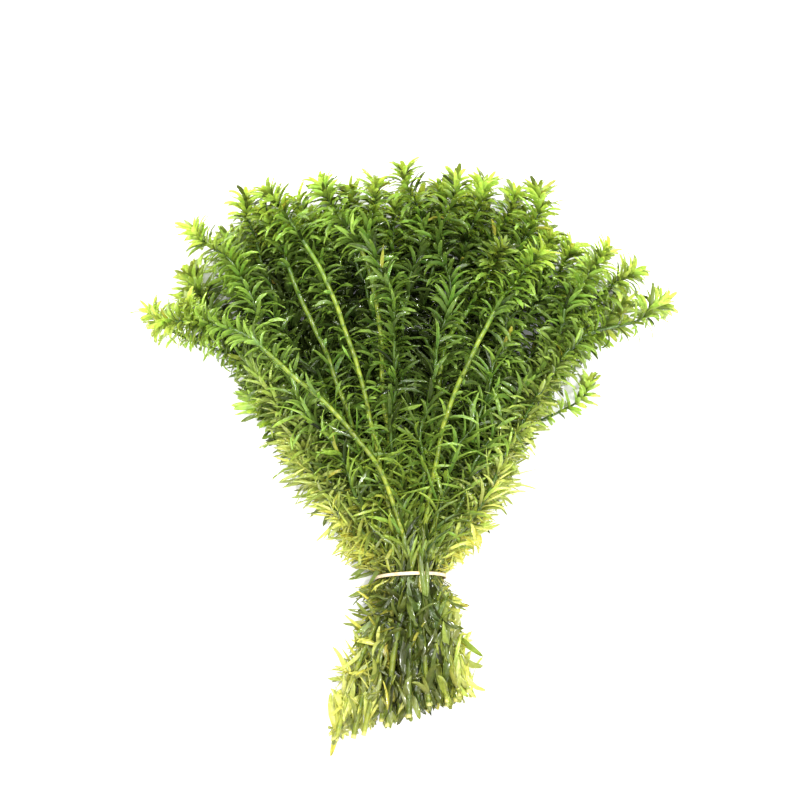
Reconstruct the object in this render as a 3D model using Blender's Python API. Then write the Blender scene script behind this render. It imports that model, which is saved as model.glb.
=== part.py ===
# A bunch of Brazilian waterweed: forty leafy shoots lying flat, held at the neck by one thin rubber band.
# Modelled in metres, +Z up. +Y runs from the cut ends to the leafy tips, +X to the right seen from above.
# Sizes below are in millimetres. The origin is under the middle of the bunch, on the surface it lies on.
import math

import bmesh
import bpy
import numpy as np
from mathutils import Vector

mm = 0.001

# Tips of the stems, across and along from the middle of the band. Each layer lies on the one before it
lowTips = [
    (-115, 155), (-95, 110), (-84, 90), (-92, 167), (-76, 178), (-58, 172), (-38, 180),
    (-18, 182), (4, 188), (31, 186), (60, 178), (91, 147), (112, 131), (90, 92),
]
middleTips = [
    (-125, 133), (-103, 143), (-84, 180), (-56, 187), (-31, 194), (-9, 190), (10, 195),
    (41, 196), (55, 184), (74, 173), (85, 158), (108, 155), (102, 123),
]
topTips = [
    (-120, 123), (-104, 168), (-72, 184), (-71, 193), (-44, 198), (-18, 197), (-1, 205),
    (22, 200), (46, 165), (65, 192), (66, 161), (97, 165), (123, 138),
]
# Stems that show on top of the bunch pass through these points, across and along
leftStem = (-120, 123)
seenStems = {
    leftStem: [(-3, 12), (-8, 36), (-16, 57), (-33, 77), (-55, 100), (-78, 120), (-98, 125)],
    (-72, 184): [(-36, 100), (-51, 129), (-59, 150), (-64, 169)],
    (-71, 193): [(-22, 87), (-29, 118), (-35, 135), (-44, 151), (-56, 171)],
    (-44, 198): [(-12, 76), (-13, 106), (-15, 128), (-20, 155), (-29, 172)],
    (46, 165): [(16, 110), (21, 125)],
    (66, 161): [(7, 32), (19, 85), (24, 102), (40, 132), (47, 143)],
}
leftStemLift = 12  # it runs over all the others

neckWidth, neckHeight = 29, 25  # across the middles of the stems under the band
stemSpacing = 4.6  # between stems under the band
layerHeights = 10, 23, 36  # of the stems in the crown
cutLine, cutSlope = -71, 0.36  # where the shoots are cut off, and how its line slants
baseFlare, baseRise = 2.15, 1.15  # how far the cut ends spread beside the neck, across and up
leaveShare, arriveShare = 0.75, 1.12  # a stem's lean at the band and at its tip, beside the tip's angle
riseLength = 95  # from the band to where a stem reaches its layer's height
stopsBelow, stopsAbove = 5, 19  # points of a stem's route on each side of the band

# How the stems come to rest on each other
restRounds = 45
roomAtNeck, roomGrowth, roomOnTable = 2.2, 6.6, 8.1  # half the space a stem wants, and its least height
holdRoute, holdEnds = 0.05, 0.5  # how firmly it keeps to its route
mostPush, stiffness, sag = 4, 0.3, 0.12

coreAtNeck, coreInCrown = 1.6, 4.1  # half thickness of the leafy stems
whorlSpacing = 16
whorlsBelow = 3
bareLength = 7  # on each side of the band
leafGap = 0.5  # kept to the halfway line between two shoots
leafLean = 0.8  # how far a leaf leans along its stem for each step outwards
budLength = 3
bandWidth, bandThickness, bandClear = 1.8, 1.0, 1.1
bandTilt = 1.6  # its top lies this much nearer the tips
bandSteps, bandPress = 28, 0.5
neckMiddle = neckHeight / 2 + coreAtNeck + bandClear + bandThickness - bandPress  # above the table

shootGreen, bandCream = (0.06, 0.17, 0.02, 1), (0.80, 0.66, 0.44, 1)


def blend(low, high, value):
    t = np.clip((value - low) / (high - low), 0, 1)
    return t * t * (3 - 2 * t)


def neckSpots(tips, layers):
    # Rows by layer and angle, then pushed apart inside an ellipse until they are evenly spaced
    spots = np.zeros((len(tips), 2))
    for layer in range(3):
        members = [i for i in range(len(tips)) if layers[i] == layer]
        members.sort(key=lambda i: math.atan2(*tips[i]))
        for turn, i in enumerate(members):
            place = turn / (len(members) - 1) - 0.5
            spots[i] = place * neckWidth * 0.9, (layer - 1) * neckHeight / 3 + (2 if turn % 2 else -2)
            if tips[i] == leftStem:
                spots[i] = -3, neckHeight / 2
    for _ in range(400):
        apart = spots[:, None] - spots[None]
        distance = np.linalg.norm(apart, axis=2) + np.eye(len(tips)) * stemSpacing
        push = np.clip(stemSpacing / distance - 1, 0, None)
        spots += 0.2 * (apart * push[..., None]).sum(1)
        outside = np.linalg.norm(spots / (neckWidth / 2, neckHeight / 2), axis=1)
        spots /= np.maximum(outside, 1)[:, None]
    return spots


def through(points, steps):
    # A smooth curve through the points, with steps + 1 points evenly along it
    points = np.array(points, float)
    ends = np.vstack([2 * points[0] - points[1], points, 2 * points[-1] - points[-2]])
    t = np.linspace(0, 1, 13)[:-1, None]
    spans = []
    for a, b, c, d in zip(ends, ends[1:], ends[2:], ends[3:]):
        bend = (2 * a - 5 * b + 4 * c - d) * t**2 + (3 * b - a - 3 * c + d) * t**3
        spans.append(b + 0.5 * ((c - a) * t + bend))
    curve = np.vstack(spans + [points[-1:]])
    along = np.concatenate([[0], np.cumsum(np.linalg.norm(np.diff(curve, axis=0), axis=1))])
    wanted = np.linspace(0, along[-1], steps + 1)
    return np.stack([np.interp(wanted, along, curve[:, i]) for i in range(3)], 1)


def fanned(across, tip):
    # From the band a stem leans out less than its tip does, so that it bends a little outwards
    start, end = np.array((across, 0)), np.array(tip)
    length = math.hypot(*(end - start))
    angle = math.atan2(tip[0] - across, tip[1])
    leave, arrive = leaveShare * angle, arriveShare * angle
    first = start + 0.35 * length * np.array((math.sin(leave), math.cos(leave)))
    last = end - 0.3 * length * np.array((math.sin(arrive), math.cos(arrive)))
    bends = []
    for t in (0.15, 0.3, 0.45, 0.6, 0.75, 0.9, 1):
        s = 1 - t
        bends.append(s**3 * start + 3 * t * s * s * first + 3 * t * t * s * last + t**3 * end)
    return bends


def firstRoute(tip, layer, spot):
    # From the cut end under the band and up into the crown
    across, up = spot
    height = neckMiddle + up
    cut = across * baseFlare, cutLine + cutSlope * across * baseFlare, neckMiddle + 3 + up * baseRise
    under = (across, -bareLength, height), (across, 0, height)
    below = through([cut, (across * 1.25, cutLine / 3, height + 1), *under], stopsBelow)
    plan = seenStems[tip] + [tip] if tip in seenStems else fanned(across, tip)
    points = [(across, 0, height), (across * 1.05, bareLength, height)]
    for x, y in plan:
        rise = (layerHeights[layer] - height) * blend(0, riseLength, math.hypot(x, y))
        if tip == leftStem:
            rise += leftStemLift * (blend(0, 40, y) - blend(70, 120, abs(x)))
        if y > 2 * bareLength:
            points.append((x, y, height + rise))
    return np.vstack([below, through(points, stopsAbove)[1:]])


def feet(routes):
    # The nearest point of each route to each stop of all the routes, and the stop it lies after
    count, stops, _ = routes.shape
    points = routes.reshape(-1, 3)
    start = routes[:, :-1].reshape(-1, 3)
    run = routes[:, 1:].reshape(-1, 3) - start
    square = (run * run).sum(1)
    beside = points @ run.T - (start * run).sum(1)
    t = np.clip(beside / square, 0, 1)
    toStart = (points**2).sum(1)[:, None] - 2 * points @ start.T + (start**2).sum(1)
    gap = toStart - 2 * t * beside + t * t * square
    after = gap.reshape(len(points), count, stops - 1).argmin(2)
    segment = after + np.arange(count) * (stops - 1)
    return start[segment] + np.take_along_axis(t, segment, 1)[..., None] * run[segment], after


def settle(routes):
    # Stems that lie too close push each other apart. Each keeps near its own route and above the table
    count, stops, _ = routes.shape
    home = routes.copy()
    steps = np.linalg.norm(np.diff(routes, axis=1), axis=2)
    along = np.concatenate([np.zeros((count, 1)), np.cumsum(steps, axis=1)], axis=1)
    along -= along[:, stopsBelow : stopsBelow + 1]
    room = np.where(along < 0, roomAtNeck - 0.012 * along, roomAtNeck + roomGrowth * blend(-10, 165, along))
    free = np.ones((count, stops, 1))
    free[:, stopsBelow - 1 : stopsBelow + 2] = 0
    hold = np.full((count, stops, 1), holdRoute)
    hold[:, [0, -1]] = holdEnds
    owner = np.repeat(np.arange(count), stops)
    for _ in range(restRounds):
        foot, after = feet(routes)
        apart = routes.reshape(-1, 1, 3) - foot
        distance = np.maximum(np.linalg.norm(apart, axis=2), 0.01)
        need = room.reshape(-1, 1) + room[np.arange(count), after]
        need[np.arange(len(owner)), owner] = 0
        push = (apart * (np.clip(need - distance, 0, None) / distance)[..., None]).sum(1)
        push *= 0.3 / np.maximum(1, np.linalg.norm(push, axis=1) / mostPush)[:, None]
        moved = routes + free * push.reshape(routes.shape)
        bend = (moved[:, :-2] + moved[:, 2:]) / 2 - moved[:, 1:-1]
        moved[:, 1:-1] += stiffness * free[:, 1:-1] * bend
        moved[..., :2] += (free * hold * (home - moved))[..., :2]
        moved[..., 2:] -= sag * free
        moved[..., 2] = np.maximum(moved[..., 2], np.minimum(room, roomOnTable))
        routes = moved
    return routes


def stemRoutes():
    tips = lowTips + middleTips + topTips
    layers = [0] * len(lowTips) + [1] * len(middleTips) + [2] * len(topTips)
    spots = neckSpots(tips, layers)
    return settle(np.array([firstRoute(*each) for each in zip(tips, layers, spots)]))


class Shoot:
    # One stem's smooth line, with its length counted from the band
    def __init__(self, stops):
        below = through(stops[: stopsBelow + 1], 40)
        above = through(stops[stopsBelow:], 120)
        self.line = np.vstack([below, above[1:]])
        steps = np.linalg.norm(np.diff(self.line, axis=0), axis=1)
        along = np.concatenate([[0], np.cumsum(steps)])
        self.along = along - along[40]
        ways = np.gradient(self.line, axis=0)
        self.ways = ways / np.linalg.norm(ways, axis=1)[:, None]

    def at(self, along):
        place = np.array([np.interp(along, self.along, self.line[:, i]) for i in range(3)])
        way = np.array([np.interp(along, self.along, self.ways[:, i]) for i in range(3)])
        way /= np.linalg.norm(way)
        side = np.cross((0, 0, 1), way)
        side /= np.linalg.norm(side)
        return place, way, side, np.cross(way, side)


def distanceTo(points, cloud):
    square = (points**2).sum(1)[:, None] - 2 * points @ cloud.T + (cloud**2).sum(1)
    return np.sqrt(np.maximum(square.min(1), 0))


def reachable(starts, ends, own, others):
    # Shortens each line until it stays nearer its own stem than any other, and above the table
    shares = np.linspace(0, 1, 11)
    points = starts[:, None] + shares[:, None] * (ends - starts)[:, None]
    flat = points.reshape(-1, 3)
    inside = distanceTo(flat, own) + leafGap <= distanceTo(flat, others) - leafGap
    kept = np.cumprod(inside.reshape(len(starts), -1), axis=1).sum(1) - 1
    share = shares[np.maximum(kept, 0)]
    drop = starts[:, 2] - ends[:, 2]
    floor = np.where(drop > 0, starts[:, 2] / np.maximum(drop, 1e-9), 1)
    return starts + np.minimum(share, np.clip(floor, 0, 1))[:, None] * (ends - starts)


def coreRadius(along, last):
    # Half the thickness of a stem with the bases of its leaves, which narrows at the tip
    grown = coreAtNeck + (coreInCrown - coreAtNeck) * blend(15, 120, along)
    return grown * (1 - 0.4 * blend(last - whorlSpacing, last, along))


def leafReach(along):
    # How far leaves stand out from the stem's middle
    if along < 0:
        return 4 + 6 * blend(bareLength, 40, -along)
    return 4 + 7 * blend(5, 60, along)


def material(name, colour, roughness):
    made = bpy.data.materials.new(name)
    made.use_nodes = True
    shader = made.node_tree.nodes["Principled BSDF"]
    shader.inputs["Base Color"].default_value = colour
    shader.inputs["Roughness"].default_value = roughness
    shader.inputs["Metallic"].default_value = 0
    return made


def coreRings(mesh, shoot, places, others):
    # Rings of four corners, each turned by an eighth from the one before
    rings = []
    for number, along in enumerate(places):
        middle, _, side, up = shoot.at(along)
        angles = [math.radians(45 * number + 90 * corner) for corner in range(4)]
        ways = np.array([math.cos(a) * side + math.sin(a) * up for a in angles])
        middles = np.tile(middle, (4, 1))
        corners = reachable(middles, middles + ways * coreRadius(along, places[-1]), shoot.line, others)
        rings.append([mesh.verts.new(corner) for corner in corners])
    return rings


def leafTips(faces, alongs, shoot, others):
    # Each leaf leans outwards and on towards the tip of its shoot
    middles = np.array([face.calc_center_median() for face in faces])
    ends = []
    for middle, along in zip(middles, alongs):
        place, way, _, _ = shoot.at(along)
        out = middle - place
        out -= way * out.dot(way)
        ends.append(place + leafReach(along) * (out / np.linalg.norm(out) + leafLean * way))
    return reachable(middles, np.array(ends), shoot.line, others)


def shootMesh(shoot, others):
    # A four-sided core, with every other triangle raised into a leaf. The stretch under the band stays bare
    cut, tip = shoot.along[0], shoot.along[-1]
    whorls = round((tip - bareLength) / whorlSpacing)
    places = list(np.linspace(cut, -bareLength, whorlsBelow + 1))
    places += list(np.linspace(bareLength, tip - budLength, whorls + 1))
    mesh = bmesh.new()
    rings = coreRings(mesh, shoot, places, others)
    mesh.faces.new(reversed(rings[0]))
    leaves, alongs = [], []
    for number, (lower, upper) in enumerate(zip(rings, rings[1:])):
        for corner in range(4):
            after = (corner + 1) % 4
            leaf = mesh.faces.new((lower[corner], lower[after], upper[corner]))
            mesh.faces.new((lower[after], upper[after], upper[corner]))
            if number != whorlsBelow:
                leaves.append(leaf)
                alongs.append((places[number] + places[number + 1]) / 2)
    bud = mesh.verts.new(shoot.line[-1])
    for corner in range(4):
        leaves.append(mesh.faces.new((rings[-1][corner], rings[-1][(corner + 1) % 4], bud)))
        alongs.append(tip - budLength)
    for leaf, end in zip(leaves, leafTips(leaves, alongs, shoot, others)):
        bmesh.ops.poke(mesh, faces=[leaf])["verts"][0].co = end
    return mesh


def makeObject(name, mesh, look, root, place, middle):
    # Its own origin is where it passes under the band
    place = Vector(place)
    bmesh.ops.translate(mesh, verts=mesh.verts, vec=-place)
    bmesh.ops.scale(mesh, verts=mesh.verts, vec=(mm, mm, mm))
    data = bpy.data.meshes.new(name)
    mesh.to_mesh(data)
    mesh.free()
    data.materials.append(look)
    data.shade_smooth()
    data.set_sharp_from_angle(angle=math.radians(30))
    made = bpy.data.objects.new(name, data)
    made.location = (place - middle) * mm
    made.parent = root
    bpy.context.collection.objects.link(made)
    return made


def bandMesh():
    # An oval ring with a flat section. Its underside is pressed flat on the table
    mesh = bmesh.new()
    rings = []
    inner = np.array((neckWidth / 2, neckHeight / 2)) + coreAtNeck + bandClear
    for step in range(bandSteps):
        turn = 2 * math.pi * step / bandSteps - math.pi / 2
        ring = []
        for out, edge in ((0, -0.5), (bandThickness, -0.5), (bandThickness, 0.5), (0, 0.5)):
            across = (inner[0] + out) * math.cos(turn)
            height = neckMiddle + (inner[1] + out) * math.sin(turn)
            along = edge * bandWidth + bandTilt * math.sin(turn)
            ring.append(mesh.verts.new((across, along, max(height, 0) if out else height)))
        rings.append(ring)
    for ring, after in zip(rings, rings[1:] + rings[:1]):
        for corner in range(4):
            turned = (corner + 1) % 4
            mesh.faces.new((ring[corner], ring[turned], after[turned], after[corner]))
    bmesh.ops.recalc_face_normals(mesh, faces=mesh.faces)
    return mesh


def build():
    for old in list(bpy.data.objects):
        bpy.data.objects.remove(old, do_unlink=True)
    shoots = [Shoot(stops) for stops in stemRoutes()]
    meshes = []
    for shoot in shoots:
        meshes.append(shootMesh(shoot, np.vstack([other.line for other in shoots if other is not shoot])))
    corners = np.array([vert.co for mesh in meshes for vert in mesh.verts])
    low, high = corners.min(0), corners.max(0)
    middle = Vector(((low[0] + high[0]) / 2, (low[1] + high[1]) / 2, 0))
    root = bpy.data.objects.new("bunch", None)
    bpy.context.collection.objects.link(root)
    look = material("waterweed", shootGreen, 0.35)
    for number, (mesh, shoot) in enumerate(zip(meshes, shoots), 1):
        makeObject(f"shoot_{number:02d}", mesh, look, root, shoot.at(0)[0], middle)
    makeObject("rubber_band", bandMesh(), material("cream_rubber", bandCream, 0.5), root, (0, 0, 0), middle)


build()
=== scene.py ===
# Brazilian waterweed: a bunch of wet, leafy shoots lying flat, with a rubber band round its neck
import math
from types import SimpleNamespace

import bpy
import numpy as np
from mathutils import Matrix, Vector


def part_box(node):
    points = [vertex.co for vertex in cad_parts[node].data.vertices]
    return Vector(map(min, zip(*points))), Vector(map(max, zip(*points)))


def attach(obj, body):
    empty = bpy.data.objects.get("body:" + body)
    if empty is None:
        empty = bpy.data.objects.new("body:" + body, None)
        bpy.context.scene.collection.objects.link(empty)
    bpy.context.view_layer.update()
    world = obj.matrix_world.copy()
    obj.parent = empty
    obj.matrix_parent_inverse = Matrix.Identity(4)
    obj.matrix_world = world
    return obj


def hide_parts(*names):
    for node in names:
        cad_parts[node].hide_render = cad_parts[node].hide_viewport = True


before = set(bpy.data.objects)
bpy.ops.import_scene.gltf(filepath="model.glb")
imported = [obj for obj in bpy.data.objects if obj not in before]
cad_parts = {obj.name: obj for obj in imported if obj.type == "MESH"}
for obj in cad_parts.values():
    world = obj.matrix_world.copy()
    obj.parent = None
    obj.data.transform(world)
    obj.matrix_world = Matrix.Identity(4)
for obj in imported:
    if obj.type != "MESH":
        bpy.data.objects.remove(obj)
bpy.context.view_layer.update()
mm = 0.001
random = np.random.default_rng(7)

# Where the stems run, in mm from the middle of the band: across, along. The same bunch as the solids
bunch = {
    "lowTips": [
        (-115, 155), (-95, 110), (-84, 90), (-92, 167), (-76, 178), (-58, 172), (-38, 180),
        (-18, 182), (4, 188), (31, 186), (60, 178), (91, 147), (112, 131), (90, 92),
    ],
    "middleTips": [
        (-125, 133), (-103, 143), (-84, 180), (-56, 187), (-31, 194), (-9, 190), (10, 195),
        (41, 196), (55, 184), (74, 173), (85, 158), (108, 155), (102, 123),
    ],
    "topTips": [
        (-120, 123), (-104, 168), (-72, 184), (-71, 193), (-44, 198), (-18, 197), (-1, 205),
        (22, 200), (46, 165), (65, 192), (66, 161), (97, 165), (123, 138),
    ],
    "leftStem": (-120, 123),
    "leftStemLift": 12,  # it runs over all the others
    "seenStems": {  # these show on top and pass through these points
        (-120, 123): [(-3, 12), (-8, 36), (-16, 57), (-33, 77), (-55, 100), (-78, 120), (-98, 125)],
        (-72, 184): [(-36, 100), (-51, 129), (-59, 150), (-64, 169)],
        (-71, 193): [(-22, 87), (-29, 118), (-35, 135), (-44, 151), (-56, 171)],
        (-44, 198): [(-12, 76), (-13, 106), (-15, 128), (-20, 155), (-29, 172)],
        (46, 165): [(16, 110), (21, 125)],
        (66, 161): [(7, 32), (19, 85), (24, 102), (40, 132), (47, 143)],
    },
    "seenHold": 0.8,  # how far these go back to there after they have settled
    "neck": (29, 25),  # across the middles of the stems under the band
    "neckMiddle": 15.7,  # above the table
    "stemSpacing": 4.6,
    "spreading": (400, 0.2),  # rounds and push that bring the stems this far apart there
    "layerHeights": (10, 23, 36),
    "cutLine": -71,
    "cutSlope": 0.36,
    "flare": (2.15, 1.15),  # the cut ends beside the neck, across and up
    "lean": (0.75, 1.12),  # of a stem at the band and at its tip, beside the tip's angle
    "riseLength": 95,
    "straight": 7,  # on each side of the band
    "stops": (5, 19),  # points of a route below and above the band
    "steps": (40, 120),  # the same for a stem's smooth line
    "rounds": 45,
    "room": (2.2, 6.6, 8.1),  # half the space a stem wants at the neck, its growth, and on the table
    "hold": (0.05, 0.5),  # how firmly a route and its ends stay
    "push": (4, 0.3, 0.12),  # most push, stiffness, sag
}
stopsBelow, stopsAbove = bunch["stops"]


def blend(low, high, value):
    t = np.clip((value - low) / (high - low), 0, 1)
    return t * t * (3 - 2 * t)


def neckSpots(tips, layers):
    # Rows by layer and angle, then pushed apart inside an ellipse until they are evenly spaced
    size = np.array(bunch["neck"])
    spots = np.zeros((len(tips), 2))
    for layer in range(3):
        members = [i for i in range(len(tips)) if layers[i] == layer]
        members.sort(key=lambda i: math.atan2(*tips[i]))
        for turn, i in enumerate(members):
            place = turn / (len(members) - 1) - 0.5
            spots[i] = place * size[0] * 0.9, (layer - 1) * size[1] / 3 + (2 if turn % 2 else -2)
            if tips[i] == bunch["leftStem"]:
                spots[i] = -3, size[1] / 2
    rounds, strength = bunch["spreading"]
    for _ in range(rounds):
        apart = spots[:, None] - spots[None]
        distance = np.linalg.norm(apart, axis=2) + np.eye(len(tips)) * bunch["stemSpacing"]
        push = np.clip(bunch["stemSpacing"] / distance - 1, 0, None)
        spots += strength * (apart * push[..., None]).sum(1)
        spots /= np.maximum(np.linalg.norm(spots / (size / 2), axis=1), 1)[:, None]
    return spots


def through(points, steps):
    # A smooth curve through the points, with steps + 1 points evenly along it
    points = np.array(points, float)
    ends = np.vstack([2 * points[0] - points[1], points, 2 * points[-1] - points[-2]])
    t = np.linspace(0, 1, 13)[:-1, None]
    spans = []
    for a, b, c, d in zip(ends, ends[1:], ends[2:], ends[3:]):
        bend = (2 * a - 5 * b + 4 * c - d) * t**2 + (3 * b - a - 3 * c + d) * t**3
        spans.append(b + 0.5 * ((c - a) * t + bend))
    curve = np.vstack(spans + [points[-1:]])
    along = np.concatenate([[0], np.cumsum(np.linalg.norm(np.diff(curve, axis=0), axis=1))])
    wanted = np.linspace(0, along[-1], steps + 1)
    return np.stack([np.interp(wanted, along, curve[:, i]) for i in range(3)], 1)


def fanned(across, tip):
    # From the band a stem leans out less than its tip does, so that it bends a little outwards
    start, end = np.array((across, 0)), np.array(tip)
    length = math.hypot(*(end - start))
    angle = math.atan2(tip[0] - across, tip[1])
    leave, arrive = bunch["lean"][0] * angle, bunch["lean"][1] * angle
    first = start + 0.35 * length * np.array((math.sin(leave), math.cos(leave)))
    last = end - 0.3 * length * np.array((math.sin(arrive), math.cos(arrive)))
    bends = []
    for t in (0.15, 0.3, 0.45, 0.6, 0.75, 0.9, 1):
        s = 1 - t
        bends.append(s**3 * start + 3 * t * s * s * first + 3 * t * t * s * last + t**3 * end)
    return bends


def firstRoute(tip, layer, spot):
    # From the cut end under the band and up into the crown
    across, up = spot
    straight, seen = bunch["straight"], bunch["seenStems"]
    height = bunch["neckMiddle"] + up
    out = across * bunch["flare"][0]
    cutHeight = bunch["neckMiddle"] + 3 + up * bunch["flare"][1]
    cut = out, bunch["cutLine"] + bunch["cutSlope"] * out, cutHeight
    under = (across, -straight, height), (across, 0, height)
    lower = through([cut, (across * 1.25, bunch["cutLine"] / 3, height + 1), *under], stopsBelow)
    plan = seen[tip] + [tip] if tip in seen else fanned(across, tip)
    points = [(across, 0, height), (across * 1.05, straight, height)]
    for x, y in plan:
        rise = bunch["layerHeights"][layer] - height
        rise *= blend(0, bunch["riseLength"], math.hypot(x, y))
        if tip == bunch["leftStem"]:
            rise += bunch["leftStemLift"] * (blend(0, 40, y) - blend(70, 120, abs(x)))
        if y > 2 * straight:
            points.append((x, y, height + rise))
    return np.vstack([lower, through(points, stopsAbove)[1:]])


def feet(routes):
    # The nearest point of each route to each stop of all the routes, and the stop it lies after
    count, stops, _ = routes.shape
    points = routes.reshape(-1, 3)
    start = routes[:, :-1].reshape(-1, 3)
    run = routes[:, 1:].reshape(-1, 3) - start
    square = (run * run).sum(1)
    beside = points @ run.T - (start * run).sum(1)
    t = np.clip(beside / square, 0, 1)
    toStart = (points**2).sum(1)[:, None] - 2 * points @ start.T + (start**2).sum(1)
    gap = toStart - 2 * t * beside + t * t * square
    after = gap.reshape(len(points), count, stops - 1).argmin(2)
    segment = after + np.arange(count) * (stops - 1)
    return start[segment] + np.take_along_axis(t, segment, 1)[..., None] * run[segment], after


def settle(routes):
    # Stems that lie too close push each other apart. Each keeps near its own route and above the table
    count, stops, _ = routes.shape
    home = routes.copy()
    mostPush, stiffness, sag = bunch["push"]
    roomAtNeck, roomGrowth, roomOnTable = bunch["room"]
    steps = np.linalg.norm(np.diff(routes, axis=1), axis=2)
    along = np.concatenate([np.zeros((count, 1)), np.cumsum(steps, axis=1)], axis=1)
    along -= along[:, stopsBelow : stopsBelow + 1]
    grown = roomAtNeck + roomGrowth * blend(-10, 165, along)
    room = np.where(along < 0, roomAtNeck - 0.012 * along, grown)
    free = np.ones((count, stops, 1))
    free[:, stopsBelow - 1 : stopsBelow + 2] = 0
    hold = np.full((count, stops, 1), bunch["hold"][0])
    hold[:, [0, -1]] = bunch["hold"][1]
    owner = np.repeat(np.arange(count), stops)
    for _ in range(bunch["rounds"]):
        foot, after = feet(routes)
        apart = routes.reshape(-1, 1, 3) - foot
        distance = np.maximum(np.linalg.norm(apart, axis=2), 0.01)
        need = room.reshape(-1, 1) + room[np.arange(count), after]
        need[np.arange(len(owner)), owner] = 0
        push = (apart * (np.clip(need - distance, 0, None) / distance)[..., None]).sum(1)
        push *= 0.3 / np.maximum(1, np.linalg.norm(push, axis=1) / mostPush)[:, None]
        moved = routes + free * push.reshape(routes.shape)
        bend = (moved[:, :-2] + moved[:, 2:]) / 2 - moved[:, 1:-1]
        moved[:, 1:-1] += stiffness * free[:, 1:-1] * bend
        moved[..., :2] += (free * hold * (home - moved))[..., :2]
        moved[..., 2:] -= sag * free
        moved[..., 2] = np.maximum(moved[..., 2], np.minimum(room, roomOnTable))
        routes = moved
    return routes


class Stem:
    # A stem's smooth line. Lengths along it count from the band
    def __init__(self, stops):
        lower, upper = bunch["steps"]
        lowLine = through(stops[: stopsBelow + 1], lower)
        self.line = np.vstack([lowLine, through(stops[stopsBelow:], upper)[1:]])
        steps = np.linalg.norm(np.diff(self.line, axis=0), axis=1)
        along = np.concatenate([[0], np.cumsum(steps)])
        self.along = along - along[lower]
        self.ways = np.gradient(self.line, axis=0)
        self.ways /= np.linalg.norm(self.ways, axis=1)[:, None]

    def at(self, along):
        # Places, ways along, sides and ups for an array of lengths
        places = np.stack([np.interp(along, self.along, self.line[:, i]) for i in range(3)], 1)
        ways = np.stack([np.interp(along, self.along, self.ways[:, i]) for i in range(3)], 1)
        ways /= np.linalg.norm(ways, axis=1)[:, None]
        sides = np.cross((0, 0, 1), ways)
        sides /= np.linalg.norm(sides, axis=1)[:, None]
        return places, ways, sides, np.cross(ways, sides)


tips = bunch["lowTips"] + bunch["middleTips"] + bunch["topTips"]
layers = [0] * len(bunch["lowTips"]) + [1] * len(bunch["middleTips"]) + [2] * len(bunch["topTips"])
plans = np.array([firstRoute(*each) for each in zip(tips, layers, neckSpots(tips, layers))])
routes = settle(plans)
for route, home, tip in zip(routes, plans, tips):
    if tip in bunch["seenStems"]:
        seenPart = slice(stopsBelow + 2, None), slice(2)
        route[seenPart] += bunch["seenHold"] * (home - route)[seenPart]
stems = [Stem(stops) for stops in routes]
bandBox = np.array(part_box("rubber_band")) / mm
# The bunch is laid out from the band, and the frame from the bunch's own middle
shift = np.array([*bandBox.mean(0)[:2], 0])
print("stems laid out:", len(stems))


def newMaterial(name):
    made = bpy.data.materials.new(name)
    made.use_nodes = True
    return made, made.node_tree, made.node_tree.nodes["Principled BSDF"]


def setInput(node, name, value):
    node.inputs[name].default_value = value


def addNode(tree, kind, **settings):
    node = tree.nodes.new(kind)
    for name, value in settings.items():
        setattr(node, name, value)
    return node


def readValue(tree, name):
    node = addNode(tree, "ShaderNodeAttribute", attribute_type="GEOMETRY", attribute_name=name)
    return node.outputs["Fac"]


def rampOf(tree, source, stops):
    # A colour ramp over a value, from positions with a colour or a grey level each
    ramp = addNode(tree, "ShaderNodeValToRGB")
    while len(ramp.color_ramp.elements) < len(stops):
        ramp.color_ramp.elements.new(0.5)
    for element, (position, colour) in zip(ramp.color_ramp.elements, stops):
        element.position = position
        element.color = (*(colour if isinstance(colour, tuple) else (colour,) * 3), 1)
    tree.links.new(source, ramp.inputs["Fac"])
    return ramp.outputs["Color"]


def mixOf(tree, share, first, second, mode="MIX"):
    mix = addNode(tree, "ShaderNodeMix", data_type="RGBA", blend_type=mode)
    for socket, value in ((mix.inputs[0], share), (mix.inputs[6], first), (mix.inputs[7], second)):
        if isinstance(value, bpy.types.NodeSocket):
            tree.links.new(value, socket)
        elif isinstance(value, tuple):
            socket.default_value = (*value, 1)
        else:
            socket.default_value = value
    return mix.outputs[2]


def timesOf(tree, first, second):
    return mixOf(tree, 1.0, first, second, "MULTIPLY")


def noiseOf(tree, scale, detail=3, roughness=0.55):
    noise = addNode(tree, "ShaderNodeTexNoise")
    place = addNode(tree, "ShaderNodeTexCoord")
    tree.links.new(place.outputs["Object"], noise.inputs["Vector"])
    for name, value in (("Scale", scale), ("Detail", detail), ("Roughness", roughness)):
        setInput(noise, name, value)
    return noise.outputs["Fac"]


def mapOf(tree, source, fromLow, fromHigh, toLow, toHigh):
    node = addNode(tree, "ShaderNodeMapRange")
    tree.links.new(source, node.inputs["Value"])
    ends = {"From Min": fromLow, "From Max": fromHigh, "To Min": toLow, "To Max": toHigh}
    for name, value in ends.items():
        setInput(node, name, value)
    return node.outputs["Result"]


def sumOf(tree, first, second):
    node = addNode(tree, "ShaderNodeMath", operation="ADD")
    tree.links.new(first, node.inputs[0])
    tree.links.new(second, node.inputs[1])
    return node.outputs[0]


def wetSkin(tree, shader, look, film, ripples):
    # A film of water: its roughness changes from place to place, and ripples catch the light
    tree.links.new(film, shader.inputs["Roughness"])
    bump = addNode(tree, "ShaderNodeBump")
    for name, value in zip(("Strength", "Distance"), look["ripples"]):
        setInput(bump, name, value)
    tree.links.new(ripples, bump.inputs["Height"])
    tree.links.new(bump.outputs["Normal"], shader.inputs["Normal"])
    for name, value in zip(("Coat Weight", "Coat Roughness", "Coat IOR", "IOR"), look["coat"]):
        setInput(shader, name, value)


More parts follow.
